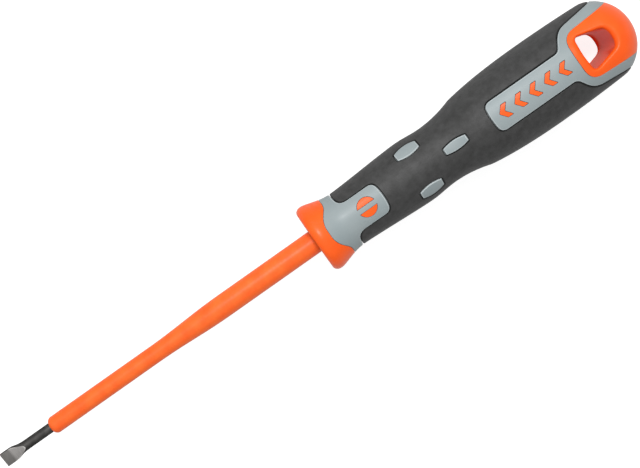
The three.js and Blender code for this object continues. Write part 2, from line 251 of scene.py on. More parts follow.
def tongue_outline():
    """The neck, and the tongue that runs back from it into the grip."""
    return rounded(mirrored([
        (0.01, 14, 0), (GRIP_FRONT, 14, 0), (GRIP_FRONT, TONGUE_HALF_WIDTH, 2.8),
        (TONGUE_END - 0.6, TONGUE_HALF_WIDTH, 1.7), (TONGUE_END, 0, 2.6)]))


def pip_outline(x, y):
    """A pip: a short lens with cut-off ends."""
    upper = [(-3.35, 0.88, 0.2), (0, 1.8, 3.0), (3.35, 0.88, 0.2)]
    return rounded([(x + u, y + v, reach) for u, v, reach in mirrored(upper)])


def panel_outline():
    """The long panel, widening into the two cheeks of the butt."""
    slope = 1.3
    return rounded(mirrored([
        (PANEL_START, 0, 2.3), (PANEL_START + 0.6, PANEL_HALF_WIDTH, 1.9),
        (CHEEK_AT - 2 * slope - 0.65, PANEL_HALF_WIDTH, 1.3),
        (CHEEK_AT, CHEEK_HALF_WIDTH, 2.8), (HANDLE_LENGTH - 0.05, CHEEK_HALF_WIDTH + 1.9, 0)]))


def strip_corners():
    """Corners of the orange strip on its +Y side, up to the butt."""
    return [(STRIP_START, 0, 2.4), (STRIP_START + 0.45, STRIP_HALF_WIDTH, 3.8),
            (HANDLE_LENGTH - 0.05, STRIP_HALF_WIDTH + 1.0, 0)]


def hole_outline():
    """The hanging hole, a wedge that narrows towards the butt."""
    return rounded(mirrored([
        (HOLE_FRONT, 0, 2.2), (HOLE_FRONT + 0.75, 5.1, 1.5), (HOLE_BACK, 2.75, 2.65)]))


def mark_outline(side):
    """Half of the round mark for a slotted blade, on one side of its band."""
    turn = math.asin(MARK_BAND / 2 / MARK_RADIUS)
    angles = np.linspace(turn, math.pi - turn, 25)
    return [Vector((MARK_AT + MARK_RADIUS * math.cos(a), side * MARK_RADIUS * math.sin(a)))
            for a in angles]


def chevron_outline(x):
    """A chevron whose point is at the station x and looks to the blade."""
    tips = [(x, 0, 0.15), (x + CHEVRON_STROKE, CHEVRON_HALF, 0.15),
            (x + 2 * CHEVRON_STROKE, CHEVRON_HALF, 0.15)]
    return rounded([*tips, (x + CHEVRON_STROKE, 0, 0.15),
                    *[(u, -v, reach) for u, v, reach in reversed(tips[1:])]], steps=3)


def chevron_places():
    """Stations of the chevrons, evenly spread between the panel's front and the strip."""
    first = PANEL_START + CHEVRON_MARGIN
    last = STRIP_START - CHEVRON_MARGIN - 2 * CHEVRON_STROKE
    return np.linspace(first, last, CHEVRONS)


# ----------------------------------------------------------------- modelling


def only(piece):
    """Selects the piece alone and makes it the active one."""
    bpy.ops.object.select_all(action="DESELECT")
    piece.select_set(True)
    bpy.context.view_layer.objects.active = piece


def start_edit(piece):
    """Goes into edit mode with all of the piece selected."""
    only(piece)
    bpy.ops.object.mode_set(mode="EDIT")
    bpy.ops.mesh.select_all(action="SELECT")


def leave_edit():
    """Goes back to object mode."""
    bpy.ops.object.mode_set(mode="OBJECT")


def traced(name, places, fill="NOTHING"):
    """A ring of corners with each corner moved to its place."""
    bpy.ops.object.select_all(action="DESELECT")
    bpy.ops.mesh.primitive_circle_add(vertices=len(places), fill_type=fill)
    piece = bpy.context.object
    piece.name = name
    for corner, place in zip(piece.data.vertices, places):
        corner.co = place
    return piece


def slab(name, outline, top, thickness):
    """A flat slab of the outline, `thickness` down from `top`."""
    piece = traced(name, [(x, y, top) for x, y in outline], fill="NGON")
    start_edit(piece)
    bpy.ops.mesh.extrude_region_move(TRANSFORM_OT_translate={"value": (0, 0, -thickness)})
    bpy.ops.mesh.select_all(action="SELECT")
    bpy.ops.mesh.normals_make_consistent(inside=False)
    leave_edit()
    return piece


def cutter(outline, reach=20):
    """A slab that reaches through everything, to cut the outline out of a piece."""
    return slab("cutter", outline, reach, 2 * reach)


def cut(piece, tool, operation="DIFFERENCE"):
    """Cuts the piece with the tool, which is then put away."""
    modifier = piece.modifiers.new("cut", "BOOLEAN")
    modifier.operation, modifier.solver, modifier.object = operation, "EXACT", tool
    modifier.material_mode = "TRANSFER"
    only(piece)
    bpy.ops.object.modifier_apply(modifier=modifier.name)
    bpy.data.objects.remove(tool)


def round_rims(piece, width, segments=3, wanted=lambda place: True):
    """Rounds the wanted edges where the top face meets a wall."""
    start_edit(piece)
    bpy.ops.mesh.select_mode(type="EDGE")
    bpy.ops.mesh.select_all(action="DESELECT")
    shape = bmesh.from_edit_mesh(piece.data)
    for edge in shape.edges:
        on_top = all(abs(v.co.z) < FLAT for v in edge.verts)
        at_wall = any(abs(f.normal.z) < 0.5 for f in edge.link_faces)
        middle = (edge.verts[0].co + edge.verts[1].co) / 2
        edge.select_set(bool(on_top and at_wall and wanted(middle)))
    bmesh.update_edit_mesh(piece.data)
    bpy.ops.mesh.bevel(offset=width, segments=segments, profile=0.5, clamp_overlap=False)
    leave_edit()


def trim_sides(piece):
    """Cuts the plate off where the two halves of the handle meet, with no stray corners there."""
    for side in (1, -1):
        start_edit(piece)
        bpy.ops.mesh.bisect(plane_co=(0, side * SIDE, 0), plane_no=(0, side, 0), clear_outer=True)
        bpy.ops.mesh.select_all(action="DESELECT")
        shape = bmesh.from_edit_mesh(piece.data)
        for corner in shape.verts:
            ways = [edge.other_vert(corner).co - corner.co for edge in corner.link_edges]
            straight = [way for way in ways if abs(way.y) + abs(way.z) < FLAT]
            corner.select_set(abs(corner.co.y - side * SIDE) < FLAT and len(straight) > 1)
        bmesh.update_edit_mesh(piece.data)
        bpy.ops.mesh.dissolve_verts()
        leave_edit()


def slice_up(piece, step):
    """Cuts the flat plate into small squares, so that it can bend."""
    places = np.array([v.co for v in piece.data.vertices])
    low, high = places.min(0), places.max(0)
    start_edit(piece)
    for axis in (0, 1):
        across = Vector((axis == 0, axis == 1, 0))
        for place in np.arange(math.ceil(low[axis] / step + 0.01) * step, high[axis] - 0.01, step):
            bpy.ops.mesh.select_all(action="SELECT")
            bpy.ops.mesh.bisect(plane_co=across * place, plane_no=across)
    leave_edit()


def skin(way, turn):
    """Places on the handle's surface and its outward directions there."""
    x, r = np.interp(way, ALONG, STATION), np.interp(way, ALONG, RADIUS)
    lean, rise = np.interp(way, ALONG, LEAN), np.interp(way, ALONG, RISE)
    places = np.stack([x + FACE, r * np.sin(turn), r * np.cos(turn)], 1)
    outwards = np.stack([lean, rise * np.sin(turn), rise * np.cos(turn)], 1)
    return places, outwards / np.linalg.norm(outwards, axis=1)[:, None]


def note(piece, name, values):
    """Keeps a number at every corner of the piece."""
    attribute = piece.data.attributes.new(name, "FLOAT", "POINT")
    attribute.data.foreach_set("value", np.asarray(values, np.float32))


def read_note(piece, name):
    """The number kept at every corner of the piece."""
    values = np.zeros(len(piece.data.vertices), np.float32)
    piece.data.attributes[name].data.foreach_get("value", values)
    return values


def lay(piece, over_butt=False, sunk=0):
    """Lays a flat plate on the handle. Over the butt, its Y walls stay upright."""
    flat = np.array([v.co for v in piece.data.vertices], float)
    depth = -flat[:, 2]
    if over_butt:
        way = BUTT - np.hypot(flat[:, 0], flat[:, 1])
        turn = np.arctan2(flat[:, 1], flat[:, 0])
    else:
        way, turn = flat[:, 0], flat[:, 1] / AROUND
    places, outwards = skin(way, turn)
    if over_butt:
        outwards[:, 1] = 0
        outwards /= np.linalg.norm(outwards, axis=1)[:, None]
    places -= outwards * (depth + sunk)[:, None]
    piece.data.vertices.foreach_set("co", (places * MM).astype(np.float32).ravel())
    note(piece, "depth", depth)
    note(piece, "way", way)
    start_edit(piece)
    bpy.ops.mesh.normals_make_consistent(inside=False)
    leave_edit()


def half_turn():
    """Turns what is selected half round the handle's axis."""
    bpy.ops.transform.rotate(value=math.pi, orient_axis="X", center_override=(0, 0, 0))


def add_lower_half(piece):
    """Copies the upper half round to the underside and joins the two where they meet."""
    start_edit(piece)
    bpy.ops.mesh.duplicate()
    half_turn()
    shape = bmesh.from_edit_mesh(piece.data)
    for corner in shape.verts:
        corner.select_set(abs(corner.co.z) < JOIN * MM)
    shape.select_flush_mode()
    bmesh.update_edit_mesh(piece.data)
    bpy.ops.mesh.remove_doubles(threshold=JOIN * MM)
    bpy.ops.mesh.select_all(action="SELECT")
    bpy.ops.mesh.normals_make_consistent(inside=False)
    leave_edit()


def copy_under(piece):
    """A copy of the piece, turned over to the underside."""
    only(piece)
    bpy.ops.object.duplicate()
    under = bpy.context.object
    start_edit(under)
    half_turn()
    leave_edit()
    return under


def smooth(piece, degrees=35):
    """Smooth shading, broken at edges sharper than the angle."""
    only(piece)
    bpy.ops.object.shade_smooth_by_angle(angle=math.radians(degrees))


def smooth_skin(piece):
    """Smooth shading that follows the handle's form right up to the rounded rims."""
    smooth(piece)
    depth, way = read_note(piece, "depth"), read_note(piece, "way")
    places = np.array([v.co for v in piece.data.vertices], float)
    outwards = skin(way, np.arctan2(places[:, 1], places[:, 2]))[1]
    outwards[depth > FLAT] = 0
    piece.data.normals_split_custom_set_from_vertices([tuple(n) for n in outwards])


def turned(name, line, sides):
    """Turns a closed line of (station, radius) points once round the X axis."""
    piece = traced(name, [(x, 0, r) for x, r in line])
    start_edit(piece)
    bpy.ops.mesh.spin(steps=sides, angle=2 * math.pi, center=(0, 0, 0), axis=(1, 0, 0))
    bpy.ops.mesh.select_all(action="SELECT")
    bpy.ops.mesh.remove_doubles(threshold=0.001)
    bpy.ops.mesh.delete_loose()
    bpy.ops.mesh.select_all(action="SELECT")
    bpy.ops.mesh.normals_make_consistent(inside=False)
    leave_edit()
    return piece


def to_metres(piece):
    """Brings the piece from millimetres to metres."""
    piece.data.transform(Matrix.Scale(MM, 4))


def near(outlines, places, reach=RIM_REACH):
    """Which of the places on the flat plate are close to a point of the outlines."""
    places = np.array([(p.x, p.y) for p in places])
    close = np.zeros(len(places), bool)
    for outline in outlines:
        for point in outline:
            close |= np.hypot(*(places - point).T) < reach
    return close


def half_ring(name, outline, holes, edge, fine_holes=()):
    """A plate that goes round the handle: its upper half is made flat, and the lower one copied."""
    piece = slab(name, outline, 0, PLATE)
    for hole in holes:
        cut(piece, cutter(hole))
    round_rims(piece, edge)
    for hole in fine_holes:
        cut(piece, cutter(hole))
    round_rims(piece, FINE_EDGE, wanted=lambda place: near(fine_holes, [place])[0])
    trim_sides(piece)
    slice_up(piece, WIDE_SQUARE)
    # Near the fine holes the painted rim light is left off.
    note(piece, "plain", near(fine_holes, [v.co for v in piece.data.vertices]))
    lay(piece)
    add_lower_half(piece)
    smooth_skin(piece)
    return piece


# ---------------------------------------------------------------- the finishes


def new_group(name, inputs, outputs):
    """A node group with named sockets, what goes into it, and what it has to put out."""
    group = bpy.data.node_groups.new(name, "ShaderNodeTree")
    for label, kind, value in inputs:
        socket = group.interface.new_socket(name=label, in_out="INPUT", socket_type=kind)
        if value is not None:
            socket.default_value = value
    for label, kind in outputs:
        group.interface.new_socket(name=label, in_out="OUTPUT", socket_type=kind)
    return group, group.nodes.new("NodeGroupInput").outputs, group.nodes.new("NodeGroupOutput").inputs


def feed(tree, socket, value):
    """Links the value to the socket, or sets it when it is a number or a colour."""
    if isinstance(value, bpy.types.NodeSocket):
        tree.links.new(value, socket)
    else:
        socket.default_value = value


def add(tree, kind, settings=None, **inputs):
    """A node with its settings, and its inputs set to a value or linked to a socket."""
    node = tree.nodes.new(kind)
    for key, value in (settings or {}).items():
        setattr(node, key, value)
    for key, value in inputs.items():
        feed(tree, node.inputs[key.replace("_", " ")], value)
    return node


def spread(tree, value, low, high, to_low=0.0, to_high=1.0):
    """A value from low..high brought to another range, and held inside it."""
    node = add(tree, "ShaderNodeMapRange", Value=value)
    for key, number in zip(("From Min", "From Max", "To Min", "To Max"), (low, high, to_low, to_high)):
        node.inputs[key].default_value = number
    return node.outputs["Result"]


def blended(tree, share, first, second):
    """A colour between two others."""
    node = tree.nodes.new("ShaderNodeMix")
    node.data_type = "RGBA"
    for number, value in ((0, share), (6, first), (7, second)):
        feed(tree, node.inputs[number], value)
    return node.outputs[2]


def maths(tree, operation, first, second, clamp=False):
    """One sum of two values."""
    node = add(tree, "ShaderNodeMath", {"operation": operation, "use_clamp": clamp})
    feed(tree, node.inputs[0], first)
    feed(tree, node.inputs[1], second)
    return node.outputs[0]


def moulded_grain_group():
    """Fine grain left by the mould, and the slow mottling of the material."""
    tree, given, result = new_group(
        "moulded_grain",
        [("Vector", "NodeSocketVector", None), ("Grain", "NodeSocketFloat", 3.0),
         ("Patches", "NodeSocketFloat", 0.2)],
        [("Height", "NodeSocketFloat"), ("Mottle", "NodeSocketFloat")])
    fine = add(tree, "ShaderNodeTexNoise", Vector=given["Vector"], Scale=given["Grain"], Detail=4.0)
    slow = add(tree, "ShaderNodeTexNoise", Vector=given["Vector"], Scale=given["Patches"], Detail=3.0)
    tree.links.new(fine.outputs[0], result["Height"])
    tree.links.new(spread(tree, slow.outputs[0], 0.3, 0.7), result["Mottle"])
    return tree


def painted_edge_light_group():
    """Painted light on a plate's edge: the rim colour on its rounded rim is a painted highlight where
    it is lighter and painted shade where it is darker, and the colour deeper down is painted shade in
    the gap between plates.
    """
    tree, given, result = new_group(
        "painted_edge_light",
        [("Color", "NodeSocketColor", None), ("Rim Color", "NodeSocketColor", None),
         ("Seam Color", "NodeSocketColor", None), ("Depth", "NodeSocketFloat", 0.0),
         ("Rim", "NodeSocketFloat", 0.2), ("Plain", "NodeSocketFloat", 0.0)],
        [("Color", "NodeSocketColor")])
    # Painted by depth below the surface: rim colour on the rounded rim, painted shade below it between
    # the plates.
    share = maths(tree, "DIVIDE", given["Depth"], given["Rim"])
    on_rim, seam_shade_share = spread(tree, share, 0.0, 0.1), spread(tree, share, 0.9, 1.6)
    shown = maths(tree, "SUBTRACT", on_rim, given["Plain"], clamp=True)
    rim = blended(tree, shown, given["Color"], given["Rim Color"])
    tree.links.new(blended(tree, seam_shade_share, rim, given["Seam Color"]), result["Color"])
    return tree


def scuff_group():
    """Faint rubbed marks that run mostly one way."""
    tree, given, result = new_group(
        "scuffs",
        [("Vector", "NodeSocketVector", None), ("Scale", "NodeSocketFloat", 1.0)],
        [("Marks", "NodeSocketFloat")])
    drawn = add(tree, "ShaderNodeMapping", Vector=given["Vector"], Scale=(0.12, 1.0, 1.0))
    lines = add(tree, "ShaderNodeTexNoise", Vector=drawn.outputs[0], Scale=given["Scale"], Detail=6.0)
    tree.links.new(spread(tree, lines.outputs[0], 0.5, 0.72), result["Marks"])
    return tree


MOULDED_GRAIN = moulded_grain_group()
PAINTED_EDGE_LIGHT = painted_edge_light_group()
SCUFFS = scuff_group()


def placed_group(tree, group, **inputs):
    """The outputs of a group placed in a material with its own values."""
    node = tree.nodes.new("ShaderNodeGroup")
    node.node_tree = group
    for key, value in inputs.items():
        feed(tree, node.inputs[key.replace("_", " ")], value)
    return node.outputs


def new_finish(name):
    """An empty material, its shader, and coordinates in millimetres."""
    material = bpy.data.materials.new(name)
    material.use_nodes = True
    tree = material.node_tree
    shader = tree.nodes["Principled BSDF"]
    place = tree.nodes.new("ShaderNodeTexCoord").outputs["Object"]
    scale = add(tree, "ShaderNodeMapping", Vector=place, Scale=(1 / MM, 1 / MM, 1 / MM))
    return material, tree, shader, scale.outputs[0]


def plastic(name, colour, patch, rim, seam_shade, roughness, grain, grain_height, patches=0.18,
            rim_width=GREY_EDGE, gloss=0.5):
    """A moulded plastic or rubber, with mottling, grain and faint scuffs, a rim colour painted on the
    rounded rims as painted light, and painted shade deeper down between the plates.
    """
    material, tree, shader, place = new_finish(name)
    pattern = placed_group(tree, MOULDED_GRAIN, Vector=place, Grain=grain, Patches=patches)
    marks = placed_group(tree, SCUFFS, Vector=place, Scale=1.6)["Marks"]
    depth = add(tree, "ShaderNodeAttribute", {"attribute_name": "depth"}).outputs["Fac"]
    body = blended(tree, pattern["Mottle"], (*colour, 1), (*patch, 1))
    plain = add(tree, "ShaderNodeAttribute", {"attribute_name": "plain"}).outputs["Fac"]
    # Painted light by depth below the surface: rim colour on the rounded rims, painted shade further
    # down between the plates.
    edged = placed_group(tree, PAINTED_EDGE_LIGHT, Color=body, Rim_Color=(*rim, 1), Seam_Color=(*seam_shade, 1),
                         Depth=depth, Rim=rim_width, Plain=plain)
    tree.links.new(edged["Color"], shader.inputs["Base Color"])
    rubbed = spread(tree, marks, 0, 1, roughness, roughness - 0.06)
    tree.links.new(rubbed, shader.inputs["Roughness"])
    shader.inputs["Specular IOR Level"].default_value = gloss
    bump = add(tree, "ShaderNodeBump", Height=pattern["Height"], Strength=1.0,
               Distance=grain_height * MM)
    tree.links.new(bump.outputs[0], shader.inputs["Normal"])
    return material


def burnished_steel():
    """Dark oiled steel with fine lines drawn along the rod."""
    material, tree, shader, place = new_finish("burnished_steel")
    drawn = add(tree, "ShaderNodeMapping", Vector=place, Scale=(0.15, 3.0, 3.0))
    lines = add(tree, "ShaderNodeTexNoise", Vector=drawn.outputs[0], Scale=2.2, Detail=5.0)
    pattern = placed_group(tree, MOULDED_GRAIN, Vector=place, Grain=9.0, Patches=0.6)
    body = blended(tree, pattern["Mottle"], (0.058, 0.0565, 0.0545, 1), (0.102, 0.099, 0.095, 1))
    tree.links.new(body, shader.inputs["Base Color"])
    tree.links.new(spread(tree, lines.outputs[0], 0.3, 0.7, 0.32, 0.46), shader.inputs["Roughness"])
    shader.inputs["Metallic"].default_value = 0.9
    shader.inputs["Specular Tint"].default_value = (0.15, 0.15, 0.15, 1)
    bump = add(tree, "ShaderNodeBump", Height=lines.outputs[0], Strength=0.6, Distance=0.015 * MM)
    tree.links.new(bump.outputs[0], shader.inputs["Normal"])
    return material


def ground_steel():
    """Ground steel with the wheel's lines across it, the sloped ramp painted lighter than the flat tip
    as a painted highlight, and a painted highlight line along the ramp's border with the rod.
    """
    material, tree, shader, place = new_finish("ground_steel")
    drawn = add(tree, "ShaderNodeMapping", Vector=place, Scale=(6.0, 0.25, 1.0))
    lines = add(tree, "ShaderNodeTexNoise", Vector=drawn.outputs[0], Scale=2.0, Detail=4.0)
    way = add(tree, "ShaderNodeSeparateXYZ", Vector=place).outputs["X"]
    # Painted highlight: the sloped ramp is painted lighter than the flat tip.
    on_ramp = spread(tree, way, TIP_PARALLEL - 0.2, TIP_PARALLEL + 0.5)
    dull = blended(tree, lines.outputs[0], (0.12, 0.115, 0.11, 1), (0.26, 0.25, 0.24, 1))
    ramp_painted_highlight = blended(tree, lines.outputs[0], (0.22, 0.21, 0.203, 1), (0.48, 0.465, 0.45, 1))
    ground = blended(tree, on_ramp, dull, ramp_painted_highlight)
    # Painted highlight: a pale line painted along the ramp's border with the rod.
    across = add(tree, "ShaderNodeVectorMath", {"operation": "MULTIPLY"})
    tree.links.new(place, across.inputs[0])
    across.inputs[1].default_value = (0, 1, 1)
    from_axis = add(tree, "ShaderNodeVectorMath", {"operation": "LENGTH"})
    tree.links.new(across.outputs[0], from_axis.inputs[0])
    rod = spread(tree, way, TIP_PARALLEL + 0.7, FLARE_END - 0.2, TIP_HALF_WIDTH, ROD_RADIUS)
    inwards = maths(tree, "SUBTRACT", rod, from_axis.outputs["Value"])
    border = maths(tree, "MULTIPLY", spread(tree, inwards, 0.22, 0.08), on_ramp)
    tree.links.new(blended(tree, border, ground, (0.75, 0.73, 0.7, 1)), shader.inputs["Base Color"])
    tree.links.new(spread(tree, lines.outputs[0], 0.3, 0.7, 0.42, 0.56), shader.inputs["Roughness"])
    shader.inputs["Metallic"].default_value = 0.75
    bump = add(tree, "ShaderNodeBump", Height=lines.outputs[0], Strength=0.7, Distance=0.012 * MM)
    tree.links.new(bump.outputs[0], shader.inputs["Normal"])
    return material


# Rim colours are painted highlights on the orange and grey plates and painted shade on the grip; the
# darkest colours are painted shade between the plates.
CORE_ORANGE = plastic(
    "core_orange", colour=(0.92, 0.1, 0.009), patch=(0.94, 0.118, 0.012), rim=(0.88, 0.13, 0.02),
    seam_shade=(0.2, 0.02, 0.006), roughness=0.34, grain=2.4, grain_height=0.012, rim_width=FINE_EDGE,
    gloss=0.22)
SLEEVE_ORANGE = plastic(
    "sleeve_orange", colour=(0.88, 0.11, 0.014), patch=(0.9, 0.15, 0.022), rim=(0.86, 0.16, 0.03),
    seam_shade=(0.4, 0.05, 0.01), roughness=0.38, grain=1.1, grain_height=0.03, patches=0.3, gloss=0.24)
SHELL_GREY = plastic(
    "shell_grey", colour=(0.25, 0.295, 0.305), patch=(0.275, 0.315, 0.322), rim=(0.44, 0.485, 0.495),
    seam_shade=(0.03, 0.034, 0.035), roughness=0.42, grain=2.8, grain_height=0.012, gloss=0.3)
GRIP_RUBBER = plastic(
    "grip_rubber", colour=(0.026, 0.026, 0.0255), patch=(0.044, 0.044, 0.044), rim=(0.01, 0.01, 0.01),
    seam_shade=(0.004, 0.004, 0.004), roughness=0.56, grain=3.0, grain_height=0.06, patches=0.55,
    rim_width=GRIP_EDGE, gloss=0.38)
BURNISHED_STEEL = burnished_steel()
GROUND_STEEL = ground_steel()


def fit(piece, node, slot, *finishes):
    """Gives a piece its finish and puts it in the place of a CAD node."""
    piece.data.materials.clear()
    for finish in finishes:
        piece.data.materials.append(finish)
    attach(piece, "root")
    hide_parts(node)
    return piece


# ------------------------------------------------------------------ the pieces


def rod_line(grow):
    """The rod's line where it grows from the slim front to the shank."""
    slim, thick, reach = ROD_RADIUS + grow, SHANK_RADIUS + grow, TAPER_END - TAPER_START
    start, end = (TAPER_START, slim), (TAPER_END, thick)
    return [Vector(start), *curve(start, (TAPER_START + 0.4 * reach, slim),
                                  (TAPER_START + 0.6 * reach, thick), end, steps=24)]


def make_blade():
    """The steel blade: ground tip, rod, shank, and the tang with its wings."""
    flare = [Vector((0, TIP_HALF_WIDTH)), Vector((TIP_PARALLEL, TIP_HALF_WIDTH))]
    flare += curve((TIP_PARALLEL, TIP_HALF_WIDTH), (0.6 * FLARE_END, TIP_HALF_WIDTH),
                   (0.6 * FLARE_END, ROD_RADIUS), (FLARE_END, ROD_RADIUS))
    taper = rod_line(0)
    line = [(0, 0), *flare, (BARE_TIP, ROD_RADIUS), *taper, (TANG_END - TANG_CHAMFER, SHANK_RADIUS),
            (TANG_END, SHANK_RADIUS - TANG_CHAMFER), (TANG_END, 0)]
    blade = turned("steel_blade", line, 64)
    blade.data.materials.append(BURNISHED_STEEL)
    bpy.ops.mesh.primitive_cube_add(size=1, location=(WINGS_AT, 0, 0), scale=WINGS_SIZE)
    wings = bpy.context.object
    bpy.ops.object.transform_apply()
    cut(blade, wings, "UNION")
    ramp = [(-1, TIP_HALF_THICKNESS), (TIP_PARALLEL, TIP_HALF_THICKNESS + 0.08)]
    ramp += [tuple(p) for p in curve(ramp[-1], (0.6 * RAMP_END, TIP_HALF_THICKNESS + 0.3),
                                     (RAMP_END, ROD_RADIUS), steps=10)]
    outline = [*ramp, (FLARE_END, 5), (TANG_END + 1, 9)]
    outline += [(x, -z) for x, z in reversed(outline)]
    grind = slab("grind", outline, 10, 20)
    grind.data.materials.append(GROUND_STEEL)
    grind.data.transform(Matrix.Rotation(math.pi / 2, 4, "X"))
    cut(blade, grind, "INTERSECT")
    blade.data.transform(Matrix.Rotation(BLADE_TURN, 4, "X"))
    edges = blade.modifiers.new("edges", "BEVEL")
    edges.width, edges.segments, edges.limit_method = BLADE_EDGE, 2, "ANGLE"
    edges.angle_limit = math.radians(28)
    only(blade)
    bpy.ops.object.modifier_apply(modifier=edges.name)
    smooth(blade, 25)
    to_metres(blade)
    ground = [face.material_index for face in blade.data.polygons]
    fit(blade, "blade", "blade_steel", BURNISHED_STEEL, GROUND_STEEL)
    blade.data.polygons.foreach_set("material_index", ground)


def make_sleeve():
    """The insulation from behind the bare steel into the collar."""
    inner, outer = SLEEVE_GAP, SLEEVE_WALL
    front, back = ROD_RADIUS + outer, SHANK_RADIUS + outer
    lip, corner = Vector((BARE_TIP + 0.3, front - 0.62)), Vector((BARE_TIP + 0.8, front - 0.12))
    nose = [lip, *curve(lip, lip.lerp(corner, 0.9), corner.lerp((BARE_TIP + 1, front), 0.8),
                        (BARE_TIP + 1.5, front), steps=10)]
    line = [Vector((BARE_TIP + 0.15, ROD_RADIUS + inner)), *nose]
    line += [Vector((x, front)) for x in range(20, TAPER_START, 4)]
    line += rod_line(outer)
    line += [Vector((x, back)) for x in range(TAPER_END + 4, round(FACE) - 3, 4)]
    line += [Vector((SLEEVE_END, back)), Vector((SLEEVE_END, SHANK_RADIUS + inner)),
             *reversed(rod_line(inner))]
    sleeve = turned("insulating_sleeve", line, 72)
    smooth(sleeve, 40)
    to_metres(sleeve)
    fit(sleeve, "blade_sleeve", "sleeve_orange", SLEEVE_ORANGE)


def inner_line(depth, first, last):
    """The handle's line `depth` below its surface between two ways along it."""
    chosen = (ALONG >= first) & (ALONG <= last)
    return [Vector((s - depth * a, max(r - depth * b, 0))) for s, r, a, b in zip(
        STATION[chosen], RADIUS[chosen], LEAN[chosen], RISE[chosen])]


def make_core():
    """The orange core under the plates, with the room for the sleeve and the hanging hole."""
    tang = SHANK_RADIUS + CORE_GAP
    room, end = SLEEVE_END - FACE + CORE_GAP, TANG_END - FACE + CORE_GAP
    outer = inner_line(CORE_DEPTH, COLLAR_FACE_END, BUTT)
    line = [(CORE_DEPTH, CORE_MOUTH), *outer, (end, 0), (end, tang), (room, tang),
            (room, CORE_MOUTH)]
    core = turned("inner_core", line, 96)
    cut(core, cutter(grown(spaced(hole_outline()), HOLE_GAP)))
    core.data.transform(Matrix.Translation((FACE, 0, 0)))
    smooth(core, 40)
    to_metres(core)
    fit(core, "handle_core", "core_orange", CORE_ORANGE)


def make_layer():
    """The grey layer that shows only deep in the seams."""
    front, back = along(COLLAR_DEPTH + 1), along(HANDLE_LENGTH - 4)
    outer = inner_line(LAYER_DEPTH, front, back)
    inner = inner_line(CORE_DEPTH - LAYER_OVERLAP, front, back)
    layer = turned("middle_layer", [*outer, *reversed(inner)], 72)
    cut(layer, cutter(grown(spaced(hole_outline()), LAYER_HOLE_GAP)))
    layer.data.transform(Matrix.Translation((FACE, 0, 0)))
    smooth(layer, 40)
    to_metres(layer)
    fit(layer, "middle_shell", "shell_grey", SHELL_GREY)


def make_collar():
    """The guard collar, round the front of the handle."""
    rear = [p for p in unrolled(collar_outline()) if p.x > along(0.5)]
    rear.sort(key=lambda p: p.y)
    outline = [Vector((COLLAR_MOUTH, -SIDE - 2)), *rear, Vector((COLLAR_MOUTH, SIDE + 2))]
    collar = slab("collar", outline, 0, COLLAR_PLATE)
    round_rims(collar, FINE_EDGE, wanted=lambda p: p.x > along(1))
    trim_sides(collar)
    slice_up(collar, FINE_SQUARE)
    lay(collar)
    add_lower_half(collar)
    smooth_skin(collar)
    fit(collar, "handle_core", "core_orange", CORE_ORANGE)


def make_neck():
    """The grey neck with its tongue."""
    tongue = unrolled(tongue_outline())
    gap = SEAM / 2
    collar = grown(unrolled(collar_outline()), gap)
    marks = [grown(unrolled(mark_outline(side)), gap) for side in (1, -1)]
    neck = half_ring("grey_neck", tongue, [], GREY_EDGE, [collar, *marks])
    fit(neck, "middle_shell", "shell_grey", SHELL_GREY)


def make_cheeks():
    """The grey panel and the cheeks on both sides of the butt."""
    strip = grown(unrolled(rounded(mirrored(strip_corners()))), SEAM / 2)
    chevrons = [grown(unrolled(chevron_outline(x)), SEAM / 2) for x in chevron_places()]
    cheeks = half_ring("grey_panel", unrolled(panel_outline()), [], GREY_EDGE, [strip, *chevrons])
    fit(cheeks, "middle_shell", "shell_grey", SHELL_GREY)


def make_grip():
    """The soft grip with its windows."""
    corners = [(GRIP_FRONT - 2, 16, 0), (HANDLE_LENGTH - 2.5, 16, 0)]
    holes = [tongue_outline(), panel_outline(), *[pip_outline(x, y) for x, y in PIP_PLACES]]
    grip = half_ring("grip_rubber", unrolled(rounded(mirrored(corners))),
                     [grown(unrolled(hole), SEAM) for hole in holes], GRIP_EDGE)
    fit(grip, "soft_grip", "grip_dark", GRIP_RUBBER)


def inlay(name, outline, edge, node, slot, finish, sunk=0):
    """A small plate set in the upper face, and its copy in the lower one."""
    piece = slab(name + "_top", unrolled(outline), 0, PLATE)
    round_rims(piece, edge)
    slice_up(piece, INLAY_SQUARE)
    lay(piece, sunk=sunk)
    under = copy_under(piece)
    under.name = name + "_under"
    for one in (piece, under):
        smooth_skin(one)
        fit(one, node, slot, finish)


def make_inlays():
    """The pips, the slot marks and the chevrons."""
    for number, (x, y) in enumerate(PIP_PLACES, 1):
        inlay(f"pip_{number}", pip_outline(x, y), GREY_EDGE, "middle_shell", "shell_grey", SHELL_GREY)
    for side, name in ((1, "slot_mark_a"), (-1, "slot_mark_b")):
        inlay(name, mark_outline(side), FINE_EDGE, "handle_core", "core_orange",
              CORE_ORANGE, INLAY_SUNK)
    for number, x in enumerate(chevron_places(), 1):
        inlay(f"chevron_{number}", chevron_outline(x), FINE_EDGE, "handle_core", "core_orange",
              CORE_ORANGE, INLAY_SUNK)


def on_butt(outline):
    """An outline seen from above, on the flat map of the butt with its end in the middle."""
    points = []
    for x, y in outline:
        radius = np.interp(x, STATION[1:], RADIUS[1:])
        if abs(y) <= radius:
            reach, turn = BUTT - along(x), math.asin(y / radius)
            points.append(Vector((reach * math.cos(turn), reach * math.sin(turn))))
    return points


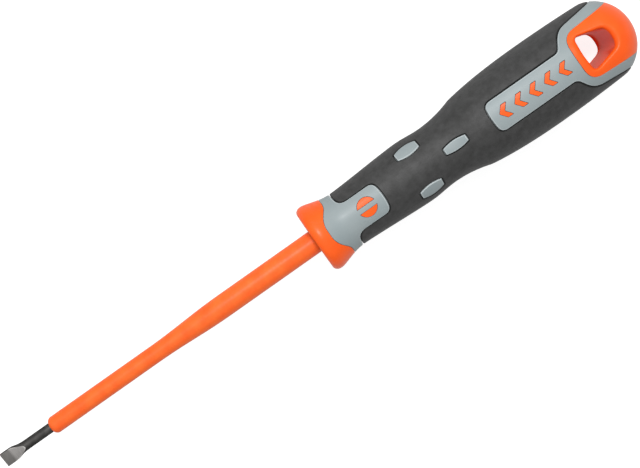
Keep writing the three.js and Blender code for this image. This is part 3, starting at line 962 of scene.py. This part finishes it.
def make_strip():
    """The orange strip over the butt, with the rounded hanging hole."""
    edge = [p for p in spaced(rounded(mirrored(strip_corners())), 0.2)
            if p.y >= 0 and p.x < HANDLE_LENGTH - 0.1]
    quarter = on_butt(edge)
    half = quarter + [Vector((-p.x, p.y)) for p in reversed(quarter)]
    outline = half + [Vector((p.x, -p.y)) for p in reversed(half) if p.y > 1e-3]
    strip = slab("butt_strip", outline, 0, STRIP_PLATE)
    hole = on_butt(spaced(hole_outline()))
    holes = [hole, [Vector((-p.x, p.y)) for p in hole]]
    for each in holes:
        cut(strip, cutter(each))

    def at_hole(place):
        return near(holes, [place], STRIP_RIM_REACH)[0]

    round_rims(strip, FINE_EDGE, wanted=lambda place: not at_hole(place))
    round_rims(strip, HOLE_ROUNDING, segments=8, wanted=at_hole)
    slice_up(strip, FINE_SQUARE)
    hollow = near(holes, [v.co for v in strip.data.vertices], HOLE_ROUNDING + STRIP_RIM_REACH)
    lay(strip, over_butt=True)
    smooth_skin(strip)
    # The rounded hole gets no painted rim light and no painted shade.
    depth = np.where(hollow, 0, read_note(strip, "depth"))
    strip.data.attributes["depth"].data.foreach_set("value", depth.astype(np.float32))
    fit(strip, "handle_core", "core_orange", CORE_ORANGE)


make_blade()
make_sleeve()
make_core()
make_layer()
make_collar()
make_neck()
make_cheeks()
make_grip()
make_inlays()
make_strip()


# ------------------------------------------------------------- floor and studio


def make_floor():
    """A pale floor just under the tool."""
    bpy.ops.object.select_all(action="DESELECT")
    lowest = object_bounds()[0].z - FLOOR_GAP
    bpy.ops.mesh.primitive_plane_add(size=4, location=(FACE * MM, 0, lowest))
    floor = bpy.context.object
    floor.name = "floor"
    material = bpy.data.materials.new("pale_floor")
    material.use_nodes = True
    tree = material.node_tree
    shader = tree.nodes["Principled BSDF"]
    shader.inputs["Base Color"].default_value = (0.35, 0.35, 0.35, 1)
    shader.inputs["Roughness"].default_value = 1
    shader.inputs["Specular IOR Level"].default_value = 0
    shader.inputs["Emission Color"].default_value = (1, 1, 1, 1)
    seen = tree.nodes.new("ShaderNodeLightPath").outputs["Is Camera Ray"]
    tree.links.new(spread(tree, seen, 0, 1, 0.34, 0.84), shader.inputs["Emission Strength"])
    floor.data.materials.append(material)


def add_light(name, aim, direction, distance, size, power):
    """A rectangular soft light that looks at a point of the tool."""
    data = bpy.data.lights.new(name, "AREA")
    data.shape, data.energy = "RECTANGLE", power
    data.size, data.size_y = size
    light = bpy.data.objects.new(name, data)
    direction = Vector(direction).normalized()
    light.rotation_mode = "QUATERNION"
    light.location = Vector(aim) + direction * distance
    light.rotation_quaternion = direction.to_track_quat("Z", "Y")
    bpy.context.scene.collection.objects.link(light)


def light_studio():
    """A white studio, brighter from above, with two soft lights."""
    world = bpy.data.worlds.new("studio")
    bpy.context.scene.world = world
    world.use_nodes = True
    tree = world.node_tree
    sky = tree.nodes["Background"]
    sky.inputs["Color"].default_value = (1, 1, 1, 1)
    towards = tree.nodes.new("ShaderNodeTexCoord").outputs["Generated"]
    facing = add(tree, "ShaderNodeVectorMath", {"operation": "DOT_PRODUCT"})
    tree.links.new(towards, facing.inputs[0])
    facing.inputs[1].default_value = (0, 0.2, 0.98)
    from_above = spread(tree, facing.outputs["Value"], 0, 1, 0.25, 1.0)
    seen = tree.nodes.new("ShaderNodeLightPath").outputs["Is Camera Ray"]
    tree.links.new(maths(tree, "MAXIMUM", from_above, seen), sky.inputs["Strength"])
    middle = (0.14, 0, 0)
    add_light("key_softbox", middle, (0.06, 0.34, 0.94), 0.7, (0.14, 0.14), 2.9)
    add_light("side_strip", (0.11, 0, 0), (0.25, 0.75, 0.6), 0.6, (0.5, 0.03), 0.2)


def add_camera():
    """Camera above the tool, leaning a little to its +Y side, with the blade down to the left."""
    lean, roll, distance = math.radians(3.6), math.radians(35.175), 0.3684
    towards = Vector((0, math.sin(lean), math.cos(lean)))
    across = Vector((0, math.cos(lean), -math.sin(lean)))
    right = Vector((math.cos(roll), 0, 0)) - across * math.sin(roll)
    up = Vector((math.sin(roll), 0, 0)) + across * math.cos(roll)
    centre = Vector((0.1022, 0, 0)) + across * 0.00082
    data = bpy.data.cameras.new("camera")
    data.lens, data.sensor_width = 78.75, 36
    camera = bpy.data.objects.new("camera", data)
    turn = Matrix((right, up, towards)).transposed().to_4x4()
    camera.matrix_world = Matrix.Translation(centre + towards * distance) @ turn
    bpy.context.scene.collection.objects.link(camera)
    bpy.context.scene.camera = camera


make_floor()
light_studio()
add_camera()
bpy.context.scene.view_settings.view_transform = "Standard"
